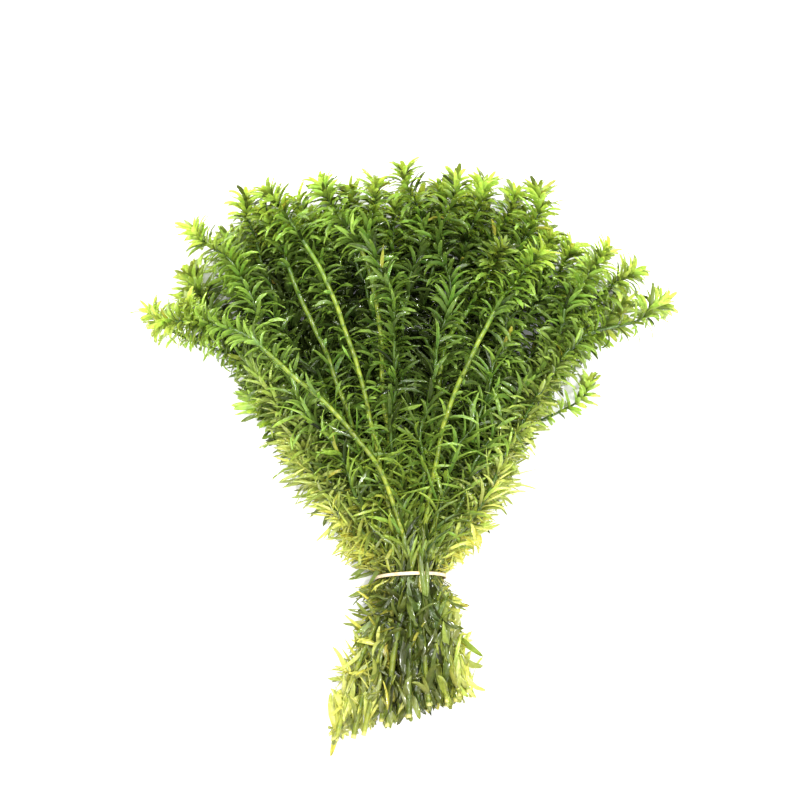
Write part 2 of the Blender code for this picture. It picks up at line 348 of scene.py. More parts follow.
def shineThrough(tree, shader, colour, share):
    # A share of the light that falls on the far side comes through
    glow = addNode(tree, "ShaderNodeBsdfTranslucent")
    tree.links.new(colour, glow.inputs["Color"])
    mix = addNode(tree, "ShaderNodeMixShader")
    setInput(mix, "Fac", share)
    tree.links.new(shader.outputs[0], mix.inputs[1])
    tree.links.new(glow.outputs[0], mix.inputs[2])
    tree.links.new(mix.outputs[0], tree.nodes["Material Output"].inputs["Surface"])


leafLook = {
    "fresh": (0.39, 0.54, 0.095),
    "young": (0.155, 0.325, 0.043),
    "grown": (0.100, 0.172, 0.037),
    "emerald": (0.048, 0.160, 0.022),  # some shoots are greener
    "old": (0.115, 0.180, 0.032),
    "worn": (0.195, 0.22, 0.033),
    # painted rim light: the paler, yellower colour of leaves at the outline of the crown
    "edge": (0.60, 0.59, 0.20),
    "yellow": (0.68, 0.64, 0.11),
    "brown": (0.20, 0.10, 0.020),
    "freshGlow": (0.93, 0.98, 0.24),  # light that shines through a leaf
    "grownGlow": (0.61, 0.77, 0.14),
    "oldGlow": (0.80, 0.81, 0.16),
    # painted rim glow: what shines through those leaves
    "edgeGlow": (0.98, 0.92, 0.42),
    "ages": (
        (0, "fresh"), (0.06, "young"), (0.15, "grown"), (0.5, "grown"), (0.75, "old"), (1, "worn"),
    ),
    "glowAges": ((0, "freshGlow"), (0.14, "grownGlow"), (0.5, "grownGlow"), (0.9, "oldGlow")),
    "shades": ((0, 0.08), (0.2, 0.52), (0.6, 1), (1, 1.65)),  # painted light and shade, from the depth to the outside
    # painted shade on the light that shines through
    "glowShades": ((0, 0.12), (0.3, 0.7), (0.7, 1)),
    "foot": ((0, 0.5), (0.4, 1)),  # painted shade: darker at the foot of a leaf
    "yellowing": ((0.45, 0), (0.75, 1)),  # with how spent a leaf is
    "browning": ((0.86, 0), (0.95, 1)),
    "veins": ((0.35, (0.72, 0.76, 0.66)), (0.6, (1.1, 1.1, 1.12))),
    "seeThrough": 0.5,
    "roughness": (0.16, 0.38),
    "ripples": (0.7, 0.0009),  # strength, depth in metres
    "coat": (1.0, 0.12, 1.55, 1.38),  # weight, roughness, index of the water and of the leaf
}


def leafMaterial():
    made, tree, shader = newMaterial("wet leaf")
    tone, along, rib = (readValue(tree, name) for name in ("tone", "alongLeaf", "rib"))
    blotches = mapOf(tree, noiseOf(tree, 260), 0.3, 0.7, -0.05, 0.05)
    age = sumOf(tree, readValue(tree, "age"), blotches)
    age = sumOf(tree, age, mapOf(tree, tone, 0, 1, -0.09, 0.09))
    colour = rampOf(tree, age, [(at, leafLook[name]) for at, name in leafLook["ages"]])
    colour = mixOf(tree, mapOf(tree, tone, 0.5, 0.15, 0, 0.75), colour, leafLook["emerald"])
    # Painted rim light: at the outline of the crown the leaves turn paler and yellower
    edge = readValue(tree, "edge")
    colour = mixOf(tree, mapOf(tree, edge, 0, 1, 0, 0.9), colour, leafLook["edge"])
    for value, low, high, most in (
        (along, 0.3, 1, 0.4),  # paler towards its tip, partly painted light
        (rib, 0.8, 1, 0.2),  # along its midrib
        (rib, 0.4, 0, 0.45),  # and at its thin margins, as painted rim light
        (tone, 0.66, 0.95, 0.6),  # some are paler all over
    ):
        colour = mixOf(tree, mapOf(tree, value, low, high, 0, most), colour, leafLook["fresh"])
    # Painted light and shade
    shade = readValue(tree, "shade")
    colour = timesOf(tree, colour, rampOf(tree, shade, leafLook["shades"]))
    colour = timesOf(tree, colour, rampOf(tree, along, leafLook["foot"]))
    spent = readValue(tree, "spent")
    yellowing = rampOf(tree, spent, leafLook["yellowing"])
    colour = mixOf(tree, yellowing, colour, leafLook["yellow"])
    colour = mixOf(tree, rampOf(tree, spent, leafLook["browning"]), colour, leafLook["brown"])
    colour = timesOf(tree, colour, rampOf(tree, noiseOf(tree, 650, 2), leafLook["veins"]))
    tree.links.new(colour, shader.inputs["Base Color"])
    film = mapOf(tree, noiseOf(tree, 420, 2), 0.35, 0.7, *leafLook["roughness"])
    wetSkin(tree, shader, leafLook, film, noiseOf(tree, 480, 2))
    glow = rampOf(tree, age, [(at, leafLook[name]) for at, name in leafLook["glowAges"]])
    # Painted rim glow, and painted shade on the light that shines through
    glow = mixOf(tree, edge, glow, leafLook["edgeGlow"])
    glow = timesOf(tree, glow, rampOf(tree, shade, leafLook["glowShades"]))
    glow = mixOf(tree, yellowing, glow, leafLook["yellow"])
    shineThrough(tree, shader, glow, leafLook["seeThrough"])
    return made


stemLook = {
    "young": (0.12, 0.22, 0.018),
    # painted shade for stems hidden under the leaves
    "shadedHidden": (0.060, 0.11, 0.012),
    "bare": (0.215, 0.29, 0.026),
    "low": (0.34, 0.37, 0.042),
    "joint": (0.055, 0.115, 0.010),
    "cut": (0.66, 0.62, 0.18),
    "ages": ((0.14, "young"), (0.26, "bare"), (0.95, "low")),
    # painted light and shade
    "shades": ((0, (0.45, 0.5, 0.45)), (0.7, 1), (1, (1.15, 1.1, 1.1))),
    "seeThrough": 0.2,
    "roughness": (0.2, 0.4),
    "ripples": (0.3, 0.0003),
    "coat": (0.25, 0.12, 1.5, 1.38),
}


def stemMaterial():
    made, tree, shader = newMaterial("stem")
    streaks = noiseOf(tree, 500)
    age = sumOf(tree, readValue(tree, "age"), mapOf(tree, streaks, 0.3, 0.7, -0.1, 0.1))
    age = sumOf(tree, age, mapOf(tree, readValue(tree, "tone"), 0, 1, -0.1, 0.1))
    colour = rampOf(tree, age, [(at, stemLook[name]) for at, name in stemLook["ages"]])
    patches = mapOf(tree, noiseOf(tree, 130), 0.45, 0.7, 0, 0.7)
    colour = mixOf(tree, patches, colour, stemLook["young"])
    # Painted shade: stems hidden under the leaves are darker
    colour = mixOf(tree, readValue(tree, "shown"), stemLook["shadedHidden"], colour)
    joint = mapOf(tree, readValue(tree, "joint"), 0.15, 1, 0, 0.8)
    colour = mixOf(tree, joint, colour, stemLook["joint"])
    # Painted light and shade
    colour = timesOf(tree, colour, rampOf(tree, readValue(tree, "shade"), stemLook["shades"]))
    colour = mixOf(tree, readValue(tree, "edge"), colour, stemLook["cut"])
    tree.links.new(colour, shader.inputs["Base Color"])
    film = mapOf(tree, noiseOf(tree, 300, 2), 0.3, 0.7, *stemLook["roughness"])
    wetSkin(tree, shader, stemLook, film, streaks)
    shineThrough(tree, shader, colour, stemLook["seeThrough"])
    return made


leafShape = {
    "stations": (0, 0.2, 0.45, 0.7, 0.9),
    "widths": (0.55, 0.95, 1, 0.9, 0.64),
    "thickness": 0.2,
    "channel": 0.32,  # depth of the fold along the midrib, beside half the width
}


def unit(vectors):
    return vectors / np.maximum(np.linalg.norm(vectors, axis=-1, keepdims=True), 1e-9)


def leafBodies(places, ways, outs, sizes, bends):
    # Closed bodies with a folded lens section: four points at each station and one at the tip.
    # sizes: length, half width. bends: lean, curl, twist, drift to the side, sag, share turned flat
    stations = np.array(leafShape["stations"] + (1,))
    length, half = sizes[:, :1], sizes[:, 1:2]
    lean, curl, twist, drift, sag, flat = bends.T[:, :, None]
    turn = (lean + curl * stations**1.4)[..., None]
    way, out, side = ways[:, None], outs[:, None], np.cross(ways, outs)[:, None]
    run = unit(np.cos(turn) * way + np.sin(turn) * out + (drift * stations)[..., None] * side)
    run = unit(run - (sag * stations)[..., None] * np.array((0, 0, 1)))
    steps = (run[:, 1:] + run[:, :-1]) / 2 * (np.diff(stations)[None, :, None] * length[..., None])
    start = np.zeros((len(places), 1, 3))
    middles = places[:, None] + np.concatenate([start, np.cumsum(steps, axis=1)], axis=1)
    across = unit(side - run * (side * run).sum(2)[..., None])
    level = unit(np.cross(run, (0, 0, 1)))  # a wet leaf lies down flat
    level *= np.where((level * across).sum(2) < 0, -1, 1)[..., None]
    share = (flat * blend(0, 0.35, stations))[..., None]
    across = unit(across * (1 - share) + level * share)
    across = unit(across - run * (across * run).sum(2)[..., None])
    face = np.cross(run, across)
    roll = (twist * stations)[..., None]
    cos, sin = np.cos(roll), np.sin(roll)
    across, face = cos * across + sin * face, cos * face - sin * across
    widths = (half * np.array(leafShape["widths"]))[..., None]
    thick = leafShape["thickness"] * np.array(leafShape["widths"])[None, :, None] ** 0.5
    inner, cross, up = middles[:, :-1], across[:, :-1], face[:, :-1]
    fold = leafShape["channel"] * widths
    back = inner - up * (fold + thick)
    corners = inner - cross * widths, inner - up * fold, inner + cross * widths, back
    rings = np.stack(corners, axis=2).reshape(len(places), -1, 3)
    return np.concatenate([rings, middles[:, -1:]], axis=1)


def leafFaces():
    # Quads of one leaf's rings, its base and the triangles round its tip
    count = len(leafShape["stations"])
    quads = [(0, 1, 2, 3)]
    for ring in range(count - 1):
        for corner in range(4):
            a, b = 4 * ring + corner, 4 * ring + (corner + 1) % 4
            quads.append((a, a + 4, b + 4, b))
    last = 4 * (count - 1)
    triangles = [(last + corner, 4 * count, last + (corner + 1) % 4) for corner in range(4)]
    return np.array(quads), np.array(triangles)


whorls = {  # three amounts: at the tip of a shoot, behind it and low on its stem
    "gaps": (1.2, 2.4, 3.9),
    "crowded": 34,  # length behind the tip over which they spread out
    "lowest": 0.7,  # the lowest layer is the densest
    "bareGap": 5.6,
    "lowGap": 4.6,  # below the band
    "nearBand": (22, 0.7),  # where they are closer again, and how much
    "evenness": (0.88, 1.12),
    "count": (6, 5, 4),
    "fewer": (45, 150),  # at these lengths behind the tip
    "looser": (70, 140),
    "grown": (0, 20),
    "ageing": (50, 140),
    "stubs": ((-0.7, 0.1, 0.6), (0.3, 0.62, 0.97)),  # on bare stretches: how far up, share torn off
    "stubsLost": 0.65,
    "pressedAway": 0.7,  # of the leaves under the lowest layer
    "length": (10.2, 13.8, 19.5),
    "halfWidth": (1.08, 0.92, 0.84),
    "lean": (34, 60, 62),
    "curl": (52, 88, 42),
}


def growWhorls(stem, bareFrom, bareTo, inside, small):
    # Where the leaves of one stem stand
    tip, cut = stem.along[-1], stem.along[0]
    nearBand, closer = whorls["nearBand"]
    spots, joints = [], []
    spot = tip - 0.5
    while spot > cut + 1.5:
        back = tip - spot
        first, spread, low = whorls["gaps"]
        gap = first + (spread - first) * blend(0, whorls["crowded"], back)
        gap += (low - spread) * blend(*whorls["looser"], back)
        bare = bareFrom < spot < bareTo
        if bare:
            gap = whorls["bareGap"]
        elif spot < 0:
            gap = whorls["lowGap"]
        elif inside:
            gap *= whorls["lowest"]
        if abs(spot) < nearBand:
            gap *= closer
        elif back < 50:
            gap /= small
        joints.append(spot)
        number = whorls["count"][sum(back > each for each in whorls["fewer"])] + int(inside)
        offset = random.uniform(0, 2 * math.pi)
        for turn in range(number):
            angle = offset + 2 * math.pi * turn / number + random.normal(0, 0.45)
            up = math.sin(angle)
            stub = bare and random.random() < np.interp(up, *whorls["stubs"])
            if stub and random.random() < whorls["stubsLost"]:
                continue
            if inside and up < -0.6 and random.random() < whorls["pressedAway"]:
                continue
            spots.append((spot + random.normal(0, 0.3), angle, stub))
        spot -= gap * random.uniform(*whorls["evenness"])
    return np.array(spots), np.array(joints)


def grade(back, amounts):
    # An amount at the tip of a shoot, behind it and low on its stem, by the length behind the tip
    first, second, third = amounts
    value = first + (second - first) * blend(*whorls["grown"], back)
    return value + (third - second) * blend(*whorls["ageing"], back)


# Single shoots below go by their tips in the bunch
bareStretches = {  # on top of these stems, from the band: bare from, and up to this far behind the tip
    (-120, 123): (22, 50),
    (-71, 193): (60, 30),
    (-72, 184): (80, 32),
    (-44, 198): (60, 38),
    (66, 161): (20, 40),
    (46, 165): (84, 40),
}
hollows = [  # places between the shoots where leaves thin out and those left are painted dark as shade: middle, half size across and along, depth
    ((4, 118), (8, 40), 0.95),
    ((18, 172), (6, 13), 0.8),
    ((-52, 113), (8, 15), 0.65),
    ((-70, 158), (10, 12), 0.65),
    ((-29, 144), (6, 16), 0.85),
    ((-17, 174), (5, 9), 0.6),
    ((38, 121), (6, 12), 0.65),
    ((-9, -44), (6, 16), 0.8),
]
crown = {  # how far the leaves reach to the left and right, from the band up
    "along": (0, 25, 60, 90, 110, 125, 135),
    "left": (30, 41, 61, 76, 91, 113, 160),
    "right": (23, 40, 54, 70, 83, 96, 160),
    "edge": (27, 38),  # degrees from the middle where the edge of the crown begins and is full: thinner leaves, paler, with painted rim light
    "lowEdge": (8, 24),  # the same below the band, in mm
}
slender = {  # shoots with smaller leaves
    (90, 92): 0.5,
    (-84, 90): 0.8,
    (-95, 110): 0.85,
    (-115, 155): 0.7,
    (112, 131): 0.8,
    (91, 147): 0.8,
}
paleLitRuns = [  # where the leaves are paler and brighter, with painted light: from, to, half width, how much
    ((8, 45), (20, 118), 5, 0.8),
    ((24, 88), (68, 142), 5, 0.9),
]
lit = {  # painted light: how much brighter these shoots are coloured, for the light they catch beside the others
    (97, 165): 1.15,
    (102, 123): 1.25,
    (112, 131): 1.15,
    (90, 92): 2.6,
    (74, 173): 1.1,
    (85, 158): 1.2,
    (91, 147): 1.3,
    (66, 161): 1.1,
    (46, 165): 0.65,
    (-71, 193): 1.25,
    (-44, 198): 1.25,
    (-84, 180): 1.25,
    (-76, 178): 1.2,
    (-120, 123): 1.35,
    (-125, 133): 1.35,
    (-103, 143): 1.3,
    (-104, 168): 1.3,
    (-115, 155): 1.4,
    (-95, 110): 1.4,
    (-92, 167): 1.3,
    (-84, 90): 1.4,
}
shadedStems = {(-72, 184): 0.3}  # painted shade: this one lies deeper
raised = {(66, 161): 6}  # this one lies on top of its neighbours
nudges = {  # tips moved a little to where they were seen
    (-115, 155): (3, -2),
    (-125, 133): (-5, 1),
    (-120, 123): (-5, 4),
    (-84, 90): (9, 4),
    (-95, 110): (11, 8),
    (-104, 168): (-2, 8),
    (-84, 180): (-1, 10),
    (55, 184): (-4, 9),
    (65, 192): (-7, 3),
    (97, 165): (3, -3),
    (74, 173): (2, -4),
    (-1, 205): (3, -1),
    (-56, 187): (2, 4),
    (-103, 143): (-3, -2),
    (108, 155): (3, -1),
    (123, 138): (4, 0),
    (91, 147): (-7, 8),
    (112, 131): (-6, 8),
    (85, 158): (-7, 9),
    (102, 123): (-13, 5),
    (90, 92): (3, 6),
}
strays = {  # single leaves that replace a shoot's lowest: start, way, length, half width, spent
    (65, 192): [
        ((4, 13, 33), (0.16, -1, -0.03), 31, 1.25, 0.1),
        ((8, 9, 32.5), (0.02, -1, -0.05), 23, 1.1, 0.3),
    ],
    (-125, 133): [((-37, -76, 5), (-0.2, -1, -0.12), 17, 1.6, 0.8)],
    (-84, 90): [
        ((-14, 17, 16), (-0.75, -1, -0.2), 25, 1.3, 0.1),
        ((-17, 9, 15), (-1, -0.7, -0.2), 17, 1.2, 0.2),
        ((-12, 13, 24), (-0.5, -1, -0.25), 23, 1.2, 0.1),
        ((-17, 3, 12), (-1, -0.35, -0.1), 16, 1.1, 0.3),
        ((-16, -3, 16), (-1, -0.5, -0.15), 18, 1.2, 0.3),
    ],
    (-1, 205): [((-4, -63, 21), (-0.3, -1, -0.1), 6, 1.3, 0.95)],
    (66, 161): [((13, -60, 20), (0.1, -1, -0.2), 7, 1.4, 0.78)],
}
pressing = {
    "ring": 2.5,  # from the middles of the outer stems to the inside of the band
    "tilt": 1.6,
    "ease": (0.026, 1.2, 1.5),  # of the ring away from the band: how fast, from where, power
    "give": 0.12,
    "reach": 45,
    "table": 1.2,  # leaves thin out to this much above it
}


def squeeze(points, loose=0):
    # Presses what lies near the band into the ring it makes, and all of it onto the table
    size = np.array(bunch["neck"]) / 2 + pressing["ring"]
    tilt = pressing["tilt"] * (points[..., 2] - bunch["neckMiddle"]) / size[1]
    away = np.abs(points[..., 1] - tilt)
    speed, start, power = pressing["ease"]
    limit = 1 + speed * np.clip(away - start, 0, None) ** power
    limit = limit * (1 + loose * blend(1.5, 8, away))
    offset = np.stack([points[..., 0], points[..., 2] - bunch["neckMiddle"]], -1) / size
    reach = np.linalg.norm(offset, axis=-1)
    pressed = limit * (1 - pressing["give"] * np.exp(-np.clip(reach - limit, 0, None)))
    held = (reach > limit * (1 - pressing["give"])) & (away < pressing["reach"])
    share = np.where(held, pressed / np.maximum(reach, 1e-6), 1)
    share = np.minimum(share, 1)
    points[..., 0] *= share
    points[..., 2] = bunch["neckMiddle"] + (points[..., 2] - bunch["neckMiddle"]) * share
    low = pressing["table"]
    z = points[..., 2]
    points[..., 2] = np.where(z < low, low * np.exp(np.minimum((z - low) / low, 0)), z)
    return points


def crownReach(places):
    left, right = (np.interp(places[:, 1], crown["along"], crown[side]) for side in ("left", "right"))
    return np.where(places[:, 0] < 0, left, right)


def hollowAt(places):
    depth = np.zeros(len(places))
    for middle, half, deep in hollows:
        depth = np.maximum(depth, deep * np.exp(-(((places[:, :2] - middle) / half) ** 2).sum(1)))
    return depth


def paleLitAt(places):
    pale = np.zeros(len(places))
    for start, end, half, much in paleLitRuns:
        run = np.subtract(end, start)
        t = np.clip((places[:, :2] - start) @ run / (run @ run), 0, 1)
        away = np.linalg.norm(places[:, :2] - start - t[:, None] * run, axis=1)
        pale = np.maximum(pale, much * np.exp(-((away / half) ** 2)))
    return pale


stemShape = {
    "radius": (0.95, 1.12),  # of hidden stems and of those that show, as in the next two
    "sides": (6, 8),
    "waviness": (1, 0.25),
    "waves": ((95, 3.2), (51, 1.6), (23, 0.5)),  # lengths and strengths
    "zigzag": 0.35,  # from joint to joint
    "hook": 2.5,  # of the tips, and at most twice that
    "tipsUp": (3, 8, 8),  # at most, by layer
    "leftEnds": 4,  # these lean further out
    "unevenEnds": (-2, 3.5),
    "shortInside": (3, 13),  # ends in the middle are shorter: how much, over what width
    "aboveTable": 3,
    "taper": 0.55,
    "swelling": 0.16,
    "lowThicker": 0.3,  # below the band
    "cutFade": (0.7, 2.5),  # the pale cut end, along the stem
    "rings": 2.4,
    "jointHalf": 0.75,
    "hiddenJoints": 60,  # hidden stems have none that show further up
}


def wander(along, tip, number):
    # A stem is never quite straight: slow waves, and a small hook at its tip
    own = np.random.default_rng(number)
    grown = blend(25, 90, along)
    waves = np.zeros((len(along), 2))
    for wave, strength in stemShape["waves"]:
        phase = own.uniform(0, 2 * math.pi, 2)
        waves += strength * np.sin(2 * math.pi * along[:, None] / wave + phase)
    waves[:, 0] += stemShape["zigzag"] * np.abs((along / 6 + own.random()) % 2 - 1)
    hook = stemShape["hook"]
    hook = np.clip(own.normal(0, hook, 2), -2 * hook, 2 * hook) * blend(tip - 26, tip, along)[:, None]
    return waves * grown[:, None] + hook


def bendStem(stem, number, tipPlace, layer):
    # From its settled line to the way it grew: waves, a tip that looks up, an uneven cut end
    tip, cut, along, line = stem.along[-1], stem.along[0], stem.along, stem.line
    seen = tipPlace in bareStretches
    _, _, sides, ups = stem.at(along)
    waves = wander(along, tip, number) * stemShape["waviness"][seen]
    line = line + sides * waves[:, :1] + ups * waves[:, 1:] * 0.6
    line[:, :2] += blend(tip - 60, tip, along)[:, None] * nudges.get(tipPlace, (0, 0))
    line[:, 0] -= stemShape["leftEnds"] * blend(-16, -45, along) * blend(14, -30, line[:, 0])
    line[:, 0] -= stemShape["leftEnds"] * blend(-20, cut, along) * blend(-12, -30, line[:, 0])
    line[:, 2] += random.uniform(0, stemShape["tipsUp"][layer]) * blend(tip - 24, tip, along) ** 1.5
    inside, width = stemShape["shortInside"]
    shorter = random.uniform(*stemShape["unevenEnds"])
    shorter += inside * math.exp(-((line[0, 0] / width) ** 2))
    line += (1 - blend(cut, cut + 12, along))[:, None] * stem.ways[0] * shorter
    line[:, 2] = np.maximum(line[:, 2], stemShape["aboveTable"])
    past = np.clip(np.abs(line[:, 0]) + 8 - crownReach(line), 0, None)  # it stays inside the crown
    past *= np.sign(line[:, 0])
    line[:, 0] -= past * blend(8, 22, line[:, 1]) * (1 - blend(tip - 30, tip - 6, along))
    lift = raised.get(tipPlace, 0)
    line[:, 2] += lift * blend(6, 26, along) * (1 - blend(tip - 70, tip - 30, along))
    if not seen:  # the shoots stand a little apart round the dark places
        for middle, half, deep in hollows:
            offset = (line[:, :2] - middle) / half
            push = 0.7 * deep * half[0] * np.exp(-(offset**2).sum(1))
            line[:, 0] += push * np.tanh(2 * offset[:, 0])
    stem.line, stem.ways = line, unit(np.gradient(line, axis=0))


def stemBody(stem, joints, seen):
    # A tube with a slight swelling at each joint, closed at both ends
    sides = stemShape["sides"][seen]
    tip, cut = stem.along[-1], stem.along[0]
    along = [np.linspace(cut, tip - 0.3, int((tip - cut) / stemShape["rings"])), [cut + 0.8]]
    marked = joints if seen else joints[joints < stemShape["hiddenJoints"]]
    along = np.sort(np.concatenate(along + [marked, marked - 0.4, marked + 0.4]))
    along = np.clip(along, cut, tip - 0.3)
    along = along[np.concatenate([[True], np.diff(along) > 0.15])]
    places, _, across, ups = stem.at(along)
    near = np.abs(along[:, None] - joints).min(1)
    joint = np.exp(-((near / stemShape["jointHalf"]) ** 2))
    thick = stemShape["radius"][seen] * (1 - stemShape["taper"] * blend(tip - 40, tip, along))
    thick *= 1 + stemShape["swelling"] * joint
    thick *= 1 + stemShape["lowThicker"] * blend(-6, -30, along)
    turns = 2 * np.pi * np.arange(sides) / sides
    outs = np.cos(turns)[None, :, None] * across[:, None] + np.sin(turns)[None, :, None] * ups[:, None]
    points = (places[:, None] + outs * thick[:, None, None]).reshape(-1, 3)
    ring = np.arange(sides)
    after = (ring + 1) % sides
    start = (np.arange(len(along) - 1) * sides)[:, None]
    corners = start + ring, start + after, start + after + sides, start + ring + sides
    ends = np.array([ring[::-1], ring + (len(along) - 1) * sides])
    # Painted light and shade, at random from joint to joint
    bright = random.beta(1.6, 1.2, len(joints) + 1)[np.searchsorted(joints[::-1], along)]
    fadeFrom, fadeTo = stemShape["cutFade"]
    cutEnd = 1 - blend(cut + fadeFrom, cut + fadeTo, along)
    values = np.repeat(np.stack([along, joint, bright, cutEnd]), sides, axis=1)
    return points, np.stack(corners, -1).reshape(-1, 4), ends, values


def shadeStem(stem, tipPlace, seen, values):
    # Painted shade: below the band the stems in the middle lie in the dark, and joints show less.
    # Hidden stems are painted darker as shade
    along, joint, shade, cutEnd = values
    across = stem.at(along)[0][:, 0]
    middle = np.exp(-(((across + 1) / 13) ** 2)) * blend(0, -20, along)
    return {
        "age": np.clip((stem.along[-1] - along) / leafShade["oldAt"], 0, 1),
        "edge": cutEnd,
        "shade": shade * shadedStems.get(tipPlace, 1) * (1 - 0.8 * middle),
        "shown": np.maximum(seen, 1 - blend(10, 50, along)) * (1 - 0.6 * middle),
        "tone": np.full(len(along), random.random()),
        "joint": joint * (1 - 0.55 * blend(0, -15, along)),
    }


leafGrowth = {
    "missing": (0.1, 0.7, 0.65),  # in the dark places, by layer
    "missingLeft": 0.3,  # on top of the base, at its left
    "lengths": (0.62, 1.24),  # beside the usual length
    "widths": (0.75, 1.2),
    "lowestLayer": (1.4, 1.3, 0.4),  # length, width and curl beside the others
    "lowLengths": (11, 26),  # below the band
    "lowHalfWidths": (0.75, 1.85),
    "lowLean": 0.32,
    "lowCurl": (0.9, 1.2),  # usual and most
    "lowBackward": 0.35,  # old leaves that hang towards the cut ends
    "least": 3,
    "curls": (0.5, 1.4),
    "liesDown": (0.4, 0.5, 0.6),  # leaves on top of a stem: lean, curl, flat
    "gathered": (0.72, 0.7),  # lean and curl at the band
    "thinEdge": (0.35, 0.1, 0.6, 0.25),  # less half width, length, curl and lean at its edges
    "wisps": 3,  # a few thin leaves reach further
}
sprays = {  # leaves that stand out beside the band. Where two amounts stand together: left, right
    "from": (-4, 9),  # stems further out than this at the band
    "lowest": (-68, -40),
    "highest": 42,
    "lowShare": (0.5, 0.3),
    "highShare": 0.95,
    "halfWidth": (0.55, 1),  # least and most of this and the next two
    "lean": (35, 125),
    "curl": (-20, 60),
    "reach": ((12, 23), (8, 16)),
}


def placeLeaves(stem, tipPlace, layer):
    # Where the leaves of a shoot stand, with an array for each thing that the next steps need
    tip = stem.along[-1]
    bareFrom, bareBack = bareStretches.get(tipPlace, (0, tip))
    small = slender.get(tipPlace, 1)
    spots, joints = growWhorls(stem, bareFrom, tip - bareBack, layer == 0, small)
    along, angle, stub = spots.T
    places, ways, sides, ups = stem.at(along)
    outs = unit(np.cos(angle)[:, None] * sides + np.sin(angle)[:, None] * ups)
    outs = unit(outs - ways * (outs * ways).sum(1)[:, None])
    hollow = np.maximum(hollowAt(places), hollowAt(places + 7 * outs + 4 * ways))
    onLeft = (along < -12) * (places[:, 0] < -10) * (outs[:, 2] > 0.2)
    gone = hollow * leafGrowth["missing"][layer] + leafGrowth["missingLeft"] * onLeft
    kept = random.random(len(along)) > gone
    leaves = SimpleNamespace(
        along=along[kept], places=places[kept], ways=ways[kept], outs=outs[kept], hollow=hollow[kept]
    )
    leaves.stub = stub[kept] > 0
    leaves.count = len(leaves.along)
    leaves.back = tip - leaves.along
    leaves.below = leaves.along < 0
    leaves.across = leaves.places[:, 0]
    leaves.outward = leaves.outs[:, 0] * np.sign(leaves.across)
    away = np.abs(leaves.across)
    fan = np.degrees(np.arctan2(away, leaves.places[:, 1] + 12)) + 2 * (leaves.across > 0)
    leaves.edge = np.where(leaves.below, blend(*crown["lowEdge"], away), blend(*crown["edge"], fan))
    leaves.edge *= blend(20, 70, leaves.back)
    return leaves, joints


def growLeaves(leaves, cut, lowest):
    # Their sizes and bends, from the age of a leaf and its place on the shoot
    count, along, back, below = leaves.count, leaves.along, leaves.back, leaves.below
    longer, wider, straighter = leafGrowth["lowestLayer"] if lowest else (1, 1, 1)
    length = grade(back, whorls["length"]) * random.uniform(*leafGrowth["lengths"], count) * longer
    length = np.where(below, random.uniform(*leafGrowth["lowLengths"], count), length)
    half = grade(back, whorls["halfWidth"]) * random.uniform(*leafGrowth["widths"], count) * wider
    leaves.half = np.where(below, random.uniform(*leafGrowth["lowHalfWidths"], count), half)
    messy = leaves.messy = blend(15, 90, back)
    nearBand = 1 - blend(3, 36, np.abs(along))
    upward = leaves.upward = np.clip(leaves.outs[:, 2], 0, 1) * blend(12, 40, back)
    lessLean, lessCurl = leafGrowth["gathered"]
    lean = np.radians(grade(back, whorls["lean"])) * (1 + random.normal(0, 0.15 + 0.27 * messy))
    lean = lean * (1 - leafGrowth["liesDown"][0] * upward) * (1 - lessLean * nearBand)
    backward = below & (random.random(count) < leafGrowth["lowBackward"])
    lean = np.where(below, np.abs(random.normal(0, leafGrowth["lowLean"], count)), lean)
    leaves.lean = np.where(backward, math.pi - lean, lean)
    toCut = np.maximum(along - cut, 0) + random.uniform(-1, 3, count)
    length = np.where(backward, np.minimum(length, toCut), length)
    leaves.length = np.maximum(length, leafGrowth["least"])
    curl = np.radians(grade(back, whorls["curl"])) * random.uniform(*leafGrowth["curls"], count)
    curl = curl * straighter + random.normal(0, 0.7, count) * messy
    curl *= (1 - lessCurl * nearBand) * (1 - leafGrowth["liesDown"][1] * upward)
    usual, most = leafGrowth["lowCurl"]
    leaves.curl = np.where(below, np.clip(random.normal(0, usual, count), -most, most), curl)


def fitCrown(leaves, small):
    # Outwards, the leaves at the edges of the crown are thin; shadeLeaves paints them paler, with
    # painted rim light. Few reach past its outline
    lessHalf, lessLength, lessCurl, lessLean = leafGrowth["thinEdge"]
    thin = leaves.edge * np.clip(leaves.outward, 0, 1) * ~leaves.below
    leaves.half *= 1 - lessHalf * thin
    leaves.length *= 1 - lessLength * thin
    leaves.curl *= 1 - lessCurl * thin
    leaves.lean *= 1 - lessLean * thin
    small = 1 - (1 - small) * (1 - blend(30, 60, leaves.back))
    leaves.length, leaves.half = leaves.length * small, leaves.half * (1 + small) / 2
    wisp = random.exponential(leafGrowth["wisps"], leaves.count)
    room = crownReach(leaves.places) - 2 - np.abs(leaves.across)
    room = room + random.normal(0, 2.5, leaves.count) + wisp
    leaves.half *= 1 - lessHalf * thin * blend(4, 9, wisp)
    trimmed = np.clip(room / np.maximum(0.85 * leaves.outward, 0.2), 5, 60)
    leaning = (leaves.along > 0) & (leaves.outward > 0.1) & (leaves.back > 14)
    leaves.length = np.where(leaning, np.minimum(leaves.length, trimmed), leaves.length)


